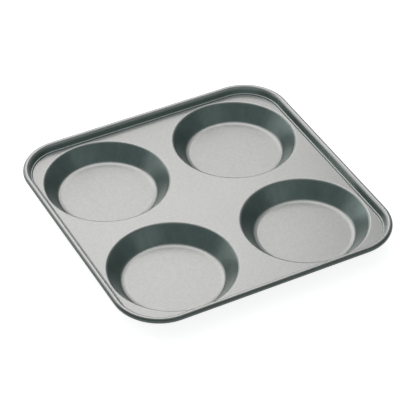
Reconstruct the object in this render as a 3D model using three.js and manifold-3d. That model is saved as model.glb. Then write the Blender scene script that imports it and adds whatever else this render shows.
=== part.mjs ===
// A square baking pan with four round wells: one pressed steel sheet, a steel wire inside its rolled
// rim, and a non-stick film bonded to the food side of the sheet.
import * as THREE from "three";
import { mergeVertices } from "three/addons/utils/BufferGeometryUtils.js";
import Module from "manifold-3d";

const wasm = await Module();
wasm.setup();

// Driving dimensions, in millimetres and degrees, taken on the steel's upper face.
const SHEET_THICKNESS = 0.8;

// Wells: cones with a rounded lip and a rounded foot, set out two by two.
const WELL_MOUTH_DIAMETER = 102.5; // where the wall would meet the deck with no rounding
const WELL_FLOOR_DIAMETER = 81; // where the wall would meet the floor with no rounding
const WELL_DEPTH = 14.2;
const WELL_LIP_RADIUS = 2.8;
const WELL_FOOT_RADIUS = 4.5;
const WELL_WEB = 15.5; // deck between two neighbouring mouths
const EDGE_LAND = 1.95; // deck between a mouth and the foot of the rim

// Rim: a small step up from the deck, a ledge, a leaning wall and an edge rolled round a wire.
const RIM_HEIGHT = 6.75; // top of the rolled edge above the deck
const RIM_CORNER_RADIUS = 38.5; // outside of the rolled edge, in plan
const STEP_HEIGHT = 1.15;
const STEP_SLOPE = 66; // from the deck
const LEDGE_FLAT = 0.1; // between the two bends that make the ledge
const WALL_LEAN = 25.5; // from upright
const BEND_INSIDE_RADIUS = 0.1;
const CURL_SLIT = 1.1; // left open between the cut edge and the underside of the wall
const WIRE_DIAMETER = 2.4;
const WIRE_CLEARANCE = 0.3;

// Film: sprayed and baked on, from the wells to the cut edge of the curl.
const FILM_THICKNESS = 0.04;
const FILM_BOND_GAP = 0.01;

// Facets: flats round a well, round one corner of the rim, round the wire, and the turn of one bend facet.
const WELL_SIDES = 32;
const CORNER_SIDES = 6;
const WIRE_SIDES = 12;
const BEND_FACET = 27;

const rad = THREE.MathUtils.degToRad;
const deg = THREE.MathUtils.radToDeg;

// Follows the steel's upper face as a folded strip: straight runs and bends, each point with its normal.
class FaceTrace {
  constructor(x, z) {
    this.x = x;
    this.z = z;
    this.heading = 0;
    this.points = [];
    this.mark();
  }
  mark() {
    const normal = new THREE.Vector2(-Math.sin(this.heading), Math.cos(this.heading));
    this.points.push({ at: new THREE.Vector2(this.x, this.z), normal });
  }
  run(length) {
    this.x += length * Math.cos(this.heading);
    this.z += length * Math.sin(this.heading);
    this.mark();
    return this;
  }
  // A positive turn bends the sheet up, about a centre above its upper face; a negative one bends it down.
  bend(degrees, faceRadius) {
    const side = Math.sign(degrees);
    const start = this.heading;
    const facets = Math.ceil(Math.abs(degrees) / BEND_FACET);
    const centre = new THREE.Vector2(
      this.x - side * faceRadius * Math.sin(start),
      this.z + side * faceRadius * Math.cos(start),
    );
    for (let i = 1; i <= facets; i++) {
      this.heading = start + (rad(degrees) * i) / facets;
      this.x = centre.x + side * faceRadius * Math.sin(this.heading);
      this.z = centre.y - side * faceRadius * Math.cos(this.heading);
      this.mark();
    }
    this.centre = centre;
    return this;
  }
  // Outline of the layer between two offsets from the upper face, anticlockwise.
  band(low, high) {
    const offset = (d) => this.points.map((p) => p.at.clone().addScaledVector(p.normal, d));
    return [...offset(low), ...offset(high).reverse()];
  }
}

// Well: from its axis along the floor, up the wall, over the lip and out onto the deck.
const wallRun = (WELL_MOUTH_DIAMETER - WELL_FLOOR_DIAMETER) / 2;
const wallSlope = Math.atan2(WELL_DEPTH, wallRun);
const footTangent = WELL_FOOT_RADIUS * Math.tan(wallSlope / 2);
const lipTangent = WELL_LIP_RADIUS * Math.tan(wallSlope / 2);
// The flat land is shared by the well, the deck plate and the rim, which meet on it edge to edge.
const flange = (EDGE_LAND - lipTangent) / 3;
const wellOuterRadius = WELL_MOUTH_DIAMETER / 2 + lipTangent + flange;
const deckHeight = SHEET_THICKNESS + WELL_DEPTH;
const wellTrace = new FaceTrace(0, SHEET_THICKNESS)
  .run(WELL_FLOOR_DIAMETER / 2 - footTangent)
  .bend(deg(wallSlope), WELL_FOOT_RADIUS)
  .run(Math.hypot(WELL_DEPTH, wallRun) - footTangent - lipTangent)
  .bend(-deg(wallSlope), WELL_LIP_RADIUS)
  .run(flange);
const wellCentre = (WELL_MOUTH_DIAMETER + WELL_WEB) / 2;

// Rim: from the deck up the step, along the ledge, up the wall and round the wire.
const rimFoot = wellCentre + WELL_MOUTH_DIAMETER / 2 + EDGE_LAND;
const bendOutsideRadius = BEND_INSIDE_RADIUS + SHEET_THICKNESS;
const curlInsideRadius = WIRE_DIAMETER / 2 + WIRE_CLEARANCE;
const curlOutsideRadius = curlInsideRadius + SHEET_THICKNESS;
const curlWrap = 360 - deg(Math.acos((curlInsideRadius - CURL_SLIT) / curlOutsideRadius));
const wallTurn = 90 - WALL_LEAN;
const stepBendsRise = (BEND_INSIDE_RADIUS + bendOutsideRadius) * (1 - Math.cos(rad(STEP_SLOPE)));
const wallBendsRise = (BEND_INSIDE_RADIUS + curlOutsideRadius) * (1 - Math.cos(rad(wallTurn)));
const rimInnerEdge = rimFoot - flange;
const rimTrace = new FaceTrace(rimInnerEdge, deckHeight)
  .run(flange)
  .bend(STEP_SLOPE, BEND_INSIDE_RADIUS)
  .run((STEP_HEIGHT - stepBendsRise) / Math.sin(rad(STEP_SLOPE)))
  .bend(-STEP_SLOPE, bendOutsideRadius)
  .run(LEDGE_FLAT)
  .bend(wallTurn, BEND_INSIDE_RADIUS)
  .run((RIM_HEIGHT - STEP_HEIGHT - wallBendsRise) / Math.sin(rad(wallTurn)))
  .bend(-curlWrap, curlOutsideRadius);
const curlCentre = rimTrace.centre;

// Plan of the rim: quarter turns about four corner centres, joined by straight sides.
const halfSide = curlCentre.x + curlOutsideRadius;
const cornerCentre = halfSide - RIM_CORNER_RADIUS;
const cornerHalfFacet = Math.PI / (4 * CORNER_SIDES);

// A closed geometry as a solid that can be joined.
function solid(geometry) {
  geometry.deleteAttribute("normal");
  geometry.deleteAttribute("uv");
  const merged = mergeVertices(geometry);
  return new wasm.Manifold(
    new wasm.Mesh({
      numProp: 3,
      vertProperties: merged.attributes.position.array,
      triVerts: new Uint32Array(merged.index.array),
    }),
  );
}

// A solid as a geometry for a mesh.
function geometryOf(body) {
  const mesh = body.getMesh();
  const geometry = new THREE.BufferGeometry();
  geometry.setAttribute("position", new THREE.BufferAttribute(mesh.vertProperties, 3));
  geometry.setIndex(new THREE.BufferAttribute(mesh.triVerts, 1));
  geometry.computeVertexNormals();
  return geometry;
}

// Turns an outline about the upright axis.
function turned(outline, sides, startAngle = 0) {
  return new THREE.LatheGeometry(outline, sides, startAngle).rotateX(Math.PI / 2);
}

// Carries a closed outline round the rim: it is turned once, then its four quarters are pulled apart.
function roundTheRim(outline) {
  const fromCorner = outline.map((p) => {
    return new THREE.Vector2((p.x - cornerCentre) / Math.cos(cornerHalfFacet), p.y);
  });
  const ring = turned([...fromCorner, fromCorner[0]], 4 * CORNER_SIDES, cornerHalfFacet);
  const position = ring.attributes.position;
  for (let i = 0; i < position.count; i++) {
    const x = position.getX(i);
    const y = position.getY(i);
    position.setXY(i, x + Math.sign(x) * cornerCentre, y + Math.sign(y) * cornerCentre);
  }
  return ring;
}

// The deck plate starts as a square, larger than the pan, and the cutters reach past it.
const PLATE_SIDES = 4;
const plateReach = 2 * halfSide;
const cutterReach = 2 * plateReach;

const wellCentres = [-wellCentre, wellCentre].flatMap((x) => [
  [x, -wellCentre],
  [x, wellCentre],
]);

// An upright-sided outline between two radii and two heights.
function block(inner, outer, bottom, top) {
  return [
    new THREE.Vector2(inner, bottom),
    new THREE.Vector2(outer, bottom),
    new THREE.Vector2(outer, top),
    new THREE.Vector2(inner, top),
  ];
}

// One layer of the pan, from the wells to the end of the curl, between two offsets from the upper face.
function panLayer(low, high) {
  const bottom = deckHeight + low;
  const top = deckHeight + high;
  const plate = turned(block(0, plateReach, bottom, top), PLATE_SIDES);
  const outside = block(rimInnerEdge, cutterReach, 0, 2 * top);
  let layer = solid(plate).subtract(solid(roundTheRim(outside)));
  layer = layer.add(solid(roundTheRim(rimTrace.band(low, high))));
  for (const [x, y] of wellCentres) {
    const hole = turned(block(0, wellOuterRadius, 0, 2 * top), WELL_SIDES);
    const well = turned(wellTrace.band(low, high), WELL_SIDES);
    layer = layer.subtract(solid(hole.translate(x, y, 0)));
    layer = layer.add(solid(well.translate(x, y, 0)));
  }
  return geometryOf(layer);
}

function wireLoop() {
  const section = [];
  for (let i = 0; i < WIRE_SIDES; i++) {
    const angle = (2 * Math.PI * i) / WIRE_SIDES;
    const out = new THREE.Vector2(Math.cos(angle), Math.sin(angle));
    section.push(out.multiplyScalar(WIRE_DIAMETER / 2).add(curlCentre));
  }
  return geometryOf(solid(roundTheRim(section)));
}

function part(name, geometry, color, roughness, metalness) {
  const material = new THREE.MeshStandardMaterial({ color, roughness, metalness });
  const mesh = new THREE.Mesh(geometry, material);
  mesh.name = name;
  return mesh;
}

const filmTop = FILM_BOND_GAP + FILM_THICKNESS;
const pan = new THREE.Group();
pan.add(part("pan_pressing", panLayer(-SHEET_THICKNESS, 0), "#6f7472", 0.45, 0.9));
pan.add(part("rim_wire", wireLoop(), "#a9abac", 0.35, 1));
pan.add(part("nonstick_coat", panLayer(FILM_BOND_GAP, filmTop), "#a3a4a2", 0.35, 0.7));

export default pan;
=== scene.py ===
import math

import bmesh
import bpy
from mathutils import Matrix, Vector


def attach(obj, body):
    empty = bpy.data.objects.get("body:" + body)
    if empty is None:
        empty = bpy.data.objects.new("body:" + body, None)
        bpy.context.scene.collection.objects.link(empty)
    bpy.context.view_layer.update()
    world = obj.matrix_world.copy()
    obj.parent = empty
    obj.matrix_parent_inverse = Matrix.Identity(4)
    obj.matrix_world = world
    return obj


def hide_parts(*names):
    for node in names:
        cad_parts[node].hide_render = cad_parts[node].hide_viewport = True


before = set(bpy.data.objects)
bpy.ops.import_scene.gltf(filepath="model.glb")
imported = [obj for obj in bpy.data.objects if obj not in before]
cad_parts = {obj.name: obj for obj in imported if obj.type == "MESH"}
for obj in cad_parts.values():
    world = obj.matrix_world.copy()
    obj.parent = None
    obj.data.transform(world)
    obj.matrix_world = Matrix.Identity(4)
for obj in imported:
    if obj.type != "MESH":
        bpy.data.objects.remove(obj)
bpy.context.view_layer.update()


# The pan: one square of mild steel sheet, pressed cold into four round wells and a stepped rim.
# The press leaves every bend a small round, and the edge is rolled outwards into a hollow bead.
# Its back wears a thin baked lacquer, dark and dull, and the sheared edge inside the bead is bare.
MM = 0.001
SHEET = 0.8 * MM
WELL_MOUTH_RADIUS = 51.25 * MM
WELL_FLOOR_RADIUS = 40.5 * MM
WELL_DEPTH = 14.2 * MM
WELL_LIP_ROUND = 2.8 * MM
WELL_FOOT_ROUND = 3.2 * MM
FOOT_RING_SLOPE = 11
FOOT_RING_WIDTH = 1.5 * MM
FOOT_RING_ROUND = 5 * MM
WELL_CENTRE = 59 * MM
WELL_STEPS = 144
DECK = SHEET + WELL_DEPTH
RIM_FOOT = 112.2 * MM
LAND = 0.15 * MM
STEP_HEIGHT = 1.15 * MM
STEP_SLOPE = 66
LEDGE = 0.1 * MM
INSIDE_ROUND = 0.1 * MM
OUTSIDE_ROUND = INSIDE_ROUND + SHEET
RIM_HEIGHT = 6.75 * MM
WALL_SLOPE = 67.35
BEAD_RADIUS = 2.3 * MM
BEAD_FLAT = 0.25 * MM
BEAD_WRAP = 280
BEAD_TURN = 7
CORNER_RADIUS = 38.5 * MM
CORNER_STEPS = 28
SEAM = MM / 100
SAME_POINT = MM / 500
SAME_LEVEL = MM / 1000


class Strip:
    """A strip of the sheet seen edge on, drawn out along the steel's upper face with runs and bends."""

    def __init__(self, bm, start):
        self.bm = bm
        self.tip = bm.verts.new(start)
        self.heading = 0.0

    def run(self, length, cuts=1):
        along = Vector((math.cos(self.heading), 0, math.sin(self.heading)))
        for _ in range(cuts):
            drawn = bmesh.ops.extrude_vert_indiv(self.bm, verts=[self.tip])
            self.tip = drawn["verts"][0]
            bmesh.ops.translate(self.bm, verts=[self.tip], vec=along * length / cuts)

    def bend(self, degrees, face_round, steps):
        """Bends up about a centre above the sheet, or down about one below it for a negative angle."""
        above = Vector((-math.sin(self.heading), 0, math.cos(self.heading)))
        self.centre = self.tip.co + above * math.copysign(face_round, degrees)
        turned = bmesh.ops.spin(
            self.bm, geom=[self.tip], cent=self.centre, axis=(0, -1, 0),
            angle=math.radians(degrees), steps=steps,
        )
        self.tip = next(g for g in turned["geom_last"] if isinstance(g, bmesh.types.BMVert))
        self.heading += math.radians(degrees)


pan_face = bmesh.new()

# A well: its floor climbs a shallow ring before it turns up into the wall, and the lip rolls out level.
wall_run = WELL_MOUTH_RADIUS - WELL_FLOOR_RADIUS
wall_slope = math.atan2(WELL_DEPTH, wall_run)
ring_slope = math.radians(FOOT_RING_SLOPE)
foot_out = (FOOT_RING_ROUND - WELL_FOOT_ROUND) * math.sin(ring_slope)
foot_out += FOOT_RING_WIDTH * math.cos(ring_slope) + WELL_FOOT_ROUND * math.sin(wall_slope)
foot_rise = FOOT_RING_ROUND - (FOOT_RING_ROUND - WELL_FOOT_ROUND) * math.cos(ring_slope)
foot_rise += FOOT_RING_WIDTH * math.sin(ring_slope) - WELL_FOOT_ROUND * math.cos(wall_slope)
lip_tangent = WELL_LIP_ROUND * math.tan(wall_slope / 2)
well = Strip(pan_face, (WELL_CENTRE, WELL_CENTRE, SHEET))
well.run(WELL_FLOOR_RADIUS + foot_rise / math.tan(wall_slope) - foot_out, cuts=8)
well.bend(FOOT_RING_SLOPE, FOOT_RING_ROUND, steps=5)
well.run(FOOT_RING_WIDTH, cuts=2)
well.bend(math.degrees(wall_slope) - FOOT_RING_SLOPE, WELL_FOOT_ROUND, steps=8)
well.run((WELL_DEPTH - foot_rise) / math.sin(wall_slope) - lip_tangent, cuts=4)
well.bend(-math.degrees(wall_slope), WELL_LIP_ROUND, steps=12)
well.run(LAND)
bmesh.ops.spin(
    pan_face, geom=pan_face.verts[:] + pan_face.edges[:], cent=(WELL_CENTRE, WELL_CENTRE, 0),
    axis=(0, 0, 1), angle=math.tau, steps=WELL_STEPS, use_merge=True,
)

# The rim: a small step up from the deck, a ledge, a leaning wall, and the bead, a little flat on top.
step_rise = (INSIDE_ROUND + OUTSIDE_ROUND) * (1 - math.cos(math.radians(STEP_SLOPE)))
wall_rise = (INSIDE_ROUND + BEAD_RADIUS) * (1 - math.cos(math.radians(WALL_SLOPE)))
rim = Strip(pan_face, (RIM_FOOT - LAND, 0, DECK))
rim.run(LAND)
rim.bend(STEP_SLOPE, INSIDE_ROUND, steps=5)
rim.run((STEP_HEIGHT - step_rise) / math.sin(math.radians(STEP_SLOPE)))
rim.bend(-STEP_SLOPE, OUTSIDE_ROUND, steps=7)
rim.run(LEDGE)
rim.bend(WALL_SLOPE, INSIDE_ROUND, steps=5)
rim.run((RIM_HEIGHT - STEP_HEIGHT - wall_rise) / math.sin(math.radians(WALL_SLOPE)), cuts=2)
rim.bend(-WALL_SLOPE, BEAD_RADIUS, steps=round(WALL_SLOPE / BEAD_TURN))
rim.run(BEAD_FLAT)
rim.bend(WALL_SLOPE - BEAD_WRAP, BEAD_RADIUS, steps=round((BEAD_WRAP - WALL_SLOPE) / BEAD_TURN))
bead_centre = rim.centre.copy()
corner_centre = bead_centre.x + BEAD_RADIUS - CORNER_RADIUS


def edges_of(geom):
    return [g for g in geom if isinstance(g, bmesh.types.BMEdge)]


def verts_of(geom):
    return [g for g in geom if isinstance(g, bmesh.types.BMVert)]


def quarter_of_rim(bm, section):
    """Carries an edge-on section at y = 0 along half a side, round a corner and along half the next."""
    side = bmesh.ops.extrude_edge_only(bm, edges=section)["geom"]
    bmesh.ops.translate(bm, verts=verts_of(side), vec=(0, corner_centre, 0))
    corner = bmesh.ops.spin(
        bm, geom=verts_of(side) + edges_of(side), cent=(corner_centre, corner_centre, 0),
        axis=(0, 0, 1), angle=math.pi / 2, steps=CORNER_STEPS,
    )["geom_last"]
    side = bmesh.ops.extrude_edge_only(bm, edges=edges_of(corner))["geom"]
    bmesh.ops.translate(bm, verts=verts_of(side), vec=(-corner_centre, 0, 0))


def all_four_quarters(bm):
    """Mirrors a quarter over both middle lines, closes the seams and turns the faces one way."""
    for axis in "XY":
        bmesh.ops.mirror(bm, geom=bm.verts[:] + bm.edges[:] + bm.faces[:], axis=axis, merge_dist=SEAM)
    bmesh.ops.remove_doubles(bm, verts=bm.verts[:], dist=SAME_POINT)
    bmesh.ops.recalc_face_normals(bm, faces=bm.faces[:])


quarter_of_rim(pan_face, [e for e in pan_face.edges if e.is_wire])
bmesh.ops.remove_doubles(pan_face, verts=pan_face.verts[:], dist=SAME_POINT)

# The flat deck fills what is left between the well and the rim.
deck_edge = RIM_FOOT - LAND
on_deck = [v for v in pan_face.verts if abs(v.co.z - DECK) < SAME_LEVEL]
along_x = min(on_deck, key=lambda v: (v.co - Vector((deck_edge, 0, DECK))).length)
along_y = min(on_deck, key=lambda v: (v.co - Vector((0, deck_edge, DECK))).length)
middle = pan_face.verts.new((0, 0, DECK))
pan_face.edges.new((along_x, middle))
pan_face.edges.new((middle, along_y))


def bounds_deck(edge):
    return (edge.is_wire or edge.is_boundary) and all(
        abs(v.co.z - DECK) < SAME_LEVEL and max(v.co.x, v.co.y) < deck_edge + SAME_LEVEL for v in edge.verts
    )


bmesh.ops.triangle_fill(
    pan_face, edges=[e for e in pan_face.edges if bounds_deck(e)], use_beauty=True, normal=(0, 0, 1)
)
all_four_quarters(pan_face)
if max(pan_face.faces, key=lambda f: f.calc_area()).normal.z < 0:
    bmesh.ops.reverse_faces(pan_face, faces=pan_face.faces[:])

# Marks for the finishes: how far a place faces up, which drives the coat's painted shade, how far the bead
# faces outwards, how sharply a place is bent outwards, and the sheared edge. All round the bead the mark is
# raised almost to a level face's, a painted highlight, and a little less on its outside, a painted shade.
BEAD_PAINTED_HIGHLIGHT = 0.91
BEAD_OUTSIDE_PAINTED_SHADE = 0.15
BEAD_SKIN = MM / 20
FULL_RUB = math.radians(6)
facing_up_for_painted_light = pan_face.verts.layers.float.new("facing_up_for_painted_light")
facing_out = pan_face.verts.layers.float.new("facing_out")
rub_and_highlight = pan_face.verts.layers.float.new("rub_and_highlight")
sheared = pan_face.verts.layers.float.new("sheared")
for vert in pan_face.verts:
    corner = Vector(max(-corner_centre, min(corner_centre, c)) for c in vert.co.xy)
    out = vert.co.xy - corner
    across = corner_centre + out.length - bead_centre.x
    across -= max(-BEAD_FLAT, min(0, across))
    on_bead = math.hypot(across, vert.co.z - bead_centre.z) < BEAD_RADIUS + BEAD_SKIN
    vert[facing_out] = max(0, vert.normal.xy.dot(out.normalized())) if on_bead else 0
    # Painted highlight on the bead, and painted shade on its outside.
    bead_painted_light_level = BEAD_PAINTED_HIGHLIGHT - BEAD_OUTSIDE_PAINTED_SHADE * vert[facing_out]
    vert[facing_up_for_painted_light] = max(vert.normal.z, bead_painted_light_level) if on_bead else vert.normal.z
    vert[rub_and_highlight] = max(edge.calc_face_angle_signed(0) for edge in vert.link_edges) / FULL_RUB
    vert[sheared] = vert.is_boundary

SHARP = math.radians(40)


def finished_piece(name, bm, material):
    """A mesh object from a bmesh, smooth but for its sharp edges."""
    mesh = bpy.data.meshes.new(name)
    bm.to_mesh(mesh)
    bm.free()
    mesh.shade_smooth()
    mesh.set_sharp_from_angle(angle=SHARP)
    mesh.materials.append(material)
    piece = bpy.data.objects.new(name, mesh)
    bpy.context.scene.collection.objects.link(piece)
    return piece


def layer_on_pan(top, thickness):
    """A copy of the pan's upper face, moved along its normals to top and given a thickness below that."""
    layer = pan_face.copy()
    for vert in layer.verts:
        vert.co += vert.normal * top
    bmesh.ops.solidify(layer, geom=layer.faces[:], thickness=thickness)
    return layer


class Finish:
    """A material being put together: its shader, and short ways to add nodes and feed sockets."""

    def __init__(self, name):
        self.material = bpy.data.materials.new(name)
        self.material.use_nodes = True
        self.tree = self.material.node_tree
        self.shader = self.tree.nodes["Principled BSDF"]
        self.place = self.node("TexCoord").outputs["Object"]

    def node(self, kind, operation=None, **sockets):
        """Adds a node; each named socket gets a value or the output that feeds it."""
        made = self.tree.nodes.new("ShaderNode" + kind)
        if operation:
            made.operation = operation
        for name, value in sockets.items():
            self.feed(made.inputs[name.replace("_", " ")], value)
        return made

    def feed(self, socket, value):
        if isinstance(value, bpy.types.NodeSocket):
            self.tree.links.new(value, socket)
        else:
            socket.default_value = value

    def math(self, operation, first, second):
        made = self.node("Math", operation)
        self.feed(made.inputs[0], first)
        self.feed(made.inputs[1], second)
        return made.outputs["Value"]

    def product(self, first, *others):
        for other in others:
            first = self.math("MULTIPLY", first, other)
        return first

    def vector(self, operation, first, second, output="Vector"):
        made = self.node("VectorMath", operation)
        self.feed(made.inputs[0], first)
        self.feed(made.inputs[1], second)
        return made.outputs[output]

    def noise(self, size, detail=2, place=None):
        """Cloudy noise, mostly from 0.3 to 0.7, with patches about as wide as size."""
        made = self.node("TexNoise", Vector=place or self.place, Scale=1 / size, Detail=detail)
        return made.outputs["Fac"]

    def mapped(self, value, low, high, to_low, to_high):
        made = self.node(
            "MapRange", Value=value, From_Min=low, From_Max=high, To_Min=to_low, To_Max=to_high
        )
        return made.outputs["Result"]

    def spread(self, noise, to_low, to_high):
        """Noise drawn out from its usual span to another."""
        return self.mapped(noise, 0.3, 0.7, to_low, to_high)

    def mark(self, name):
        made = self.node("Attribute")
        made.attribute_name = name
        return made.outputs["Fac"]

    def ramp(self, value, *stops):
        made = self.node("ValToRGB", Fac=value)
        while len(made.color_ramp.elements) < len(stops):
            made.color_ramp.elements.new(1)
        for element, (position, colour) in zip(made.color_ramp.elements, stops):
            element.position = position
            element.color = (*colour, 1)
        return made.outputs["Color"]

    def scaled(self, colour, factor):
        return self.node("VectorMath", "SCALE", Vector=colour, Scale=factor).outputs["Vector"]

    def bump(self, height, distance):
        made = self.node("Bump", Height=height, Distance=distance)
        self.feed(self.shader.inputs["Normal"], made.outputs["Normal"])

    def set(self, **sockets):
        for name, value in sockets.items():
            self.feed(self.shader.inputs[name.replace("_", " ")], value)


LACQUER_DARK = (0.085, 0.098, 0.096)
LACQUER_PALE = (0.125, 0.138, 0.135)
BARE_STEEL = (0.5, 0.5, 0.49)
LACQUER_MOTTLE = 30 * MM
LACQUER_DULL_PATCH = 6 * MM
LACQUER_GRAIN = 0.9 * MM
LACQUER_GRAIN_HEIGHT = 0.012 * MM

# The lower half of the tone is lacquer, from dark to pale, and its top is the bare sheared edge.
lacquer = Finish("backing_lacquer")
mottle = lacquer.noise(LACQUER_MOTTLE, detail=4)
bare = lacquer.mapped(lacquer.mark("sheared"), 0.9, 1, 0, 1)
tone = lacquer.math("MAXIMUM", lacquer.spread(mottle, 0, 0.5), bare)
lacquer.set(
    Base_Color=lacquer.ramp(tone, (0, LACQUER_DARK), (0.5, LACQUER_PALE), (1, BARE_STEEL)),
    Metallic=lacquer.mapped(tone, 0.5, 1, 0.25, 1),
    Roughness=lacquer.spread(lacquer.noise(LACQUER_DULL_PATCH), 0.42, 0.55),
)
lacquer.bump(lacquer.noise(LACQUER_GRAIN, detail=3), LACQUER_GRAIN_HEIGHT)

pressed_pan = finished_piece("pressed_pan", layer_on_pan(0, SHEET), lacquer.material)
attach(pressed_pan, "root")
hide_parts("pan_pressing")


# The wire: a length of plain drawn steel wire bent into a rounded square and trapped in the bead.
# It stiffens the rim, and shows only from below, as a bright line in the slit that the curl leaves.
WIRE_RADIUS = 1.2 * MM
WIRE_STEPS = 20
WIRE_STAINED = (0.4, 0.39, 0.375)
WIRE_CLEAN = (0.56, 0.56, 0.55)
WIRE_STAIN = 5 * MM
WIRE_GRAIN = 0.25 * MM
WIRE_GRAIN_HEIGHT = 0.004 * MM

wire = bmesh.new()
bmesh.ops.create_circle(
    wire, segments=WIRE_STEPS, radius=WIRE_RADIUS,
    matrix=Matrix.Translation(bead_centre) @ Matrix.Rotation(math.pi / 2, 4, "X"),
)
quarter_of_rim(wire, wire.edges[:])
all_four_quarters(wire)

drawn_steel = Finish("drawn_steel")
stain = drawn_steel.noise(WIRE_STAIN, detail=4)
drawn_steel.set(
    Base_Color=drawn_steel.ramp(stain, (0.35, WIRE_STAINED), (0.6, WIRE_CLEAN)),
    Metallic=1,
    Roughness=drawn_steel.spread(stain, 0.45, 0.3),
)
drawn_steel.bump(drawn_steel.noise(WIRE_GRAIN), WIRE_GRAIN_HEIGHT)

edge_wire = finished_piece("edge_wire", wire, drawn_steel.material)
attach(edge_wire, "root")
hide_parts("rim_wire")


# The non-stick coat: a thin film of polymer full of fine metal flake, sprayed on from above and baked.
# Its colour is painted darker and tealer on the steep faces, a painted shade for the dark surroundings
# that they mirror, and the press has left faint draw marks there. Clear polymer covers the flake, but for
# the bead's outside.
FILM_GAP = 0.01 * MM
FILM = 0.04 * MM
FLAKE = 0.45 * MM
FLAKE_SWING = 0.06
PEEL = 2.5 * MM
PEEL_SWING = 0.055
PEEL_HEIGHT = 0.013 * MM
FLAKE_IN_PEEL = 0.2
CLOUD = 45 * MM
CLOUD_SWING = 0.015
# Convex bends are made lighter by this gain: wear, and a painted highlight on the lips.
RUB_AND_HIGHLIGHT_GAIN = 1.05
RUB_POLISH = 0.04
# Painted shade: the bead's outside is darkened to this share of its colour.
BEAD_OUTSIDE_PAINTED_SHADE_TONE = 0.45
CLEAR_ENDS = 0.7
DRAW_MARK_WIDTH = 0.14
DRAW_MARKS_UP_WALL = 12
DRAW_MARK_SWING = 0.11
WALL_FACING_UP = 0.62
SLOPE_FACING_UP = 0.8
# Coat colours by how far a face points up: the level one is the coat's own, the others add painted shade.
FILM_PAINTED_SHADE_RIM_WALL = (0.084, 0.126, 0.118)
FILM_PAINTED_SHADE_WELL_WALL = (0.113, 0.166, 0.156)
FILM_PAINTED_SHADE_SLOPE = (0.222, 0.246, 0.24)
FILM_ON_LEVEL = (0.458, 0.458, 0.453)

flake_coat = Finish("flake_coat")
flake = flake_coat.node("TexVoronoi", Vector=flake_coat.place, Scale=1 / FLAKE).outputs["Color"]
peel = flake_coat.noise(PEEL, detail=3)
cloud = flake_coat.noise(CLOUD, detail=3)
bend_wear_and_highlight = flake_coat.mapped(flake_coat.mark("rub_and_highlight"), 0.3, 1, 0, 1)
outward = flake_coat.mark("facing_out")
facing_up_level = flake_coat.mark("facing_up_for_painted_light")

# Draw marks run up a well's wall, so their noise goes by the direction from the nearest well's middle.
from_well = flake_coat.vector("ABSOLUTE", flake_coat.place, (0, 0, 0))
from_well = flake_coat.vector("SUBTRACT", from_well, (WELL_CENTRE, WELL_CENTRE, 0))
from_well = flake_coat.vector("MULTIPLY", from_well, (1, 1, 0))
round_well = flake_coat.vector("NORMALIZE", from_well, (0, 0, 0))
up_wall = flake_coat.vector("MULTIPLY", flake_coat.place, (0, 0, DRAW_MARKS_UP_WALL))
on_wall = flake_coat.vector("ADD", round_well, up_wall)
draw_mark = flake_coat.spread(
    flake_coat.noise(DRAW_MARK_WIDTH, detail=4, place=on_wall),
    flake_coat.mapped(facing_up_level, WALL_FACING_UP, SLOPE_FACING_UP, 1 - DRAW_MARK_SWING, 1),
    flake_coat.mapped(facing_up_level, WALL_FACING_UP, SLOPE_FACING_UP, 1 + DRAW_MARK_SWING, 1),
)
# The coat's tone: flake, peel and cloud vary at random, with draw marks on the walls, a painted highlight
# on convex bends and painted shade on the bead's outside.
flake_tone_and_painted_light = flake_coat.product(
    flake_coat.mapped(flake, 0, 1, 1 - FLAKE_SWING, 1 + FLAKE_SWING),
    flake_coat.spread(peel, 1 - PEEL_SWING, 1 + PEEL_SWING),
    flake_coat.spread(cloud, 1 - CLOUD_SWING, 1 + CLOUD_SWING),
    flake_coat.mapped(bend_wear_and_highlight, 0, 1, 1, RUB_AND_HIGHLIGHT_GAIN),
    flake_coat.mapped(outward, 0, 1, 1, BEAD_OUTSIDE_PAINTED_SHADE_TONE),
    draw_mark,
)
# Painted shade: the less a face points up, the darker and tealer its colour.
coat_with_painted_shade = flake_coat.ramp(
    facing_up_level,
    (0.43, FILM_PAINTED_SHADE_RIM_WALL), (0.6, FILM_PAINTED_SHADE_WELL_WALL), (0.88, FILM_PAINTED_SHADE_SLOPE), (0.98, FILM_ON_LEVEL),
)
rubbed_smooth = flake_coat.mapped(bend_wear_and_highlight, 0, 1, 0, RUB_POLISH)
flake_coat.set(
    Base_Color=flake_coat.scaled(coat_with_painted_shade, flake_tone_and_painted_light),
    Metallic=0.6,
    Coat_Weight=flake_coat.mapped(outward, 0, CLEAR_ENDS, 1, 0),
    Coat_Roughness=0.3,
    Roughness=flake_coat.math("SUBTRACT", flake_coat.spread(cloud, 0.28, 0.32), rubbed_smooth),
)
flake_height = flake_coat.mapped(flake, 0, 1, 0, FLAKE_IN_PEEL)
flake_coat.bump(flake_coat.math("ADD", peel, flake_height), PEEL_HEIGHT)

silver_coat = finished_piece("silver_coat", layer_on_pan(FILM_GAP + FILM, FILM), flake_coat.material)
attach(silver_coat, "root")
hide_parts("nonstick_coat")
pan_face.free()


# The studio: a pale floor, a dim cloth dome that the coat mirrors, strong soft boxes behind and to the
# left, and weak ones in front and overhead.
AZIMUTH = math.radians(-27.812)
ELEVATION = math.radians(40.006)
TARGET = Vector((-2.594, -9.667, 14.927)) * MM
DISTANCE = 1.52344
LENS = 164.82
SENSOR = 36

scene = bpy.context.scene
scene.view_settings.view_transform = "Standard"


def towards(azimuth, elevation):
    """A direction by degrees round from the camera, to the picture's right, and degrees up."""
    around = AZIMUTH + math.radians(azimuth)
    up = math.radians(elevation)
    return Vector((math.sin(around) * math.cos(up), -math.cos(around) * math.cos(up), math.sin(up)))


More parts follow.
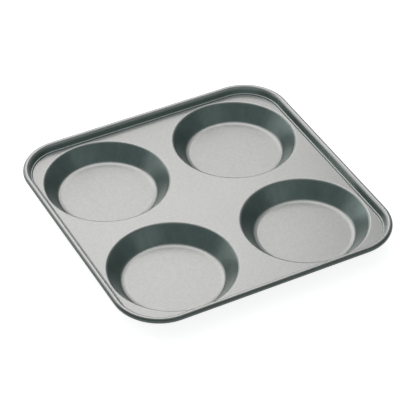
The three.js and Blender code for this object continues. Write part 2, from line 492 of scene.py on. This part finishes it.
to_camera = towards(0, math.degrees(ELEVATION))
camera = bpy.data.objects.new("camera", bpy.data.cameras.new("camera"))
camera.data.lens = LENS
camera.data.sensor_width = SENSOR
camera.location = TARGET + to_camera * DISTANCE
camera.rotation_euler = (-to_camera).to_track_quat("-Z", "Y").to_euler()
camera.data.clip_start = 0.05
camera.data.clip_end = 50
scene.collection.objects.link(camera)
scene.camera = camera

FLOOR_RADIUS = 8
FLOOR_LIFT = 0.82
FLOOR_DROP = 0.2 * MM
floor_bm = bmesh.new()
bmesh.ops.create_circle(
    floor_bm, cap_ends=True, segments=96, radius=FLOOR_RADIUS,
    matrix=Matrix.Translation((0, 0, -FLOOR_DROP)),
)
floor_paint = Finish("floor_paint")
path = floor_paint.node("LightPath")
seen = floor_paint.math("ADD", path.outputs["Is Camera Ray"], path.outputs["Is Glossy Ray"])
seen = floor_paint.math("ADD", seen, path.outputs["Is Transmission Ray"])
floor_paint.set(
    Base_Color=(0.7, 0.7, 0.7, 1),
    Roughness=0.9,
    Specular_IOR_Level=0,
    Emission_Color=(1, 1, 1, 1),
    Emission_Strength=floor_paint.math("MULTIPLY", seen, FLOOR_LIFT),
)
floor = finished_piece("floor", floor_bm, floor_paint.material)

DOME_RADIUS = 2.4
DOME_HEM = -0.01
DOME_GLOW_LEFT = 0.29
DOME_GLOW_RIGHT = 0.2
DOME_CROWN_START = 0.72 * DOME_RADIUS
DOME_CROWN_FULL = 0.95 * DOME_RADIUS
DOME_CROWN_GAIN = 1.5
dome_bm = bmesh.new()
bmesh.ops.create_uvsphere(dome_bm, u_segments=64, v_segments=32, radius=DOME_RADIUS)
bmesh.ops.bisect_plane(
    dome_bm, geom=dome_bm.verts[:] + dome_bm.edges[:] + dome_bm.faces[:],
    plane_co=(0, 0, DOME_HEM), plane_no=(0, 0, 1), clear_inner=True,
)
dome_cloth = Finish("dome_cloth")
rightwards = dome_cloth.vector("DOT_PRODUCT", dome_cloth.place, towards(90, 0), output="Value")
upwards = dome_cloth.vector("DOT_PRODUCT", dome_cloth.place, (0, 0, 1), output="Value")
dome_cloth.set(
    Base_Color=(0.05, 0.06, 0.06, 1),
    Roughness=1,
    Specular_IOR_Level=0,
    Emission_Color=(0.92, 1, 0.98, 1),
    Emission_Strength=dome_cloth.product(
        dome_cloth.mapped(rightwards, 0, DOME_RADIUS, DOME_GLOW_LEFT, DOME_GLOW_RIGHT),
        dome_cloth.mapped(upwards, DOME_CROWN_START, DOME_CROWN_FULL, 1, DOME_CROWN_GAIN),
    ),
)
dome = finished_piece("dome", dome_bm, dome_cloth.material)
dome.visible_camera = False


def softbox(name, azimuth, elevation, distance, width, height, glow, colour=(1, 1, 1)):
    """A lamp with an oblong face of even glow, aimed at the pan; a glow of 1 is as bright as white."""
    lamp = bpy.data.objects.new(name, bpy.data.lights.new(name, "AREA"))
    lamp.data.shape = "RECTANGLE"
    lamp.data.size = width
    lamp.data.size_y = height
    lamp.data.energy = glow * math.pi * width * height
    lamp.data.color = colour
    aim = towards(azimuth, elevation)
    lamp.location = aim * distance
    lamp.rotation_euler = aim.to_track_quat("Z", "Y").to_euler()
    scene.collection.objects.link(lamp)


WARM = (1, 0.97, 0.96)
softbox("back_box", -147, 26, distance=1.6, width=2.3, height=1.25, glow=0.62, colour=WARM)
softbox("back_key", -157.5, 55, distance=1, width=1.02, height=0.66, glow=1.12, colour=(1, 0.965, 0.96))
softbox("left_box", -114, 36, distance=1.2, width=0.7, height=0.5, glow=0.5, colour=WARM)
softbox("left_fill", -106, 17, distance=0.55, width=0.36, height=0.3, glow=0.62, colour=(1, 0.93, 0.91))
softbox("back_low", -140, 7, distance=1.2, width=0.9, height=0.28, glow=0.9, colour=(1, 1, 0.98))
softbox("front_fill", 46, 25, distance=1.5, width=1.3, height=0.6, glow=0.38, colour=(0.97, 1, 0.95))
softbox("front_low", -10, 9, distance=1.4, width=1.6, height=0.4, glow=0.34)
softbox("top_box", 90, 86, distance=1.2, width=0.9, height=0.7, glow=0.2)

world = bpy.data.worlds.new("studio_air")
world.use_nodes = True
world.node_tree.nodes["Background"].inputs["Color"].default_value = (1, 1, 1, 1)
world.node_tree.nodes["Background"].inputs["Strength"].default_value = 1
scene.world = world
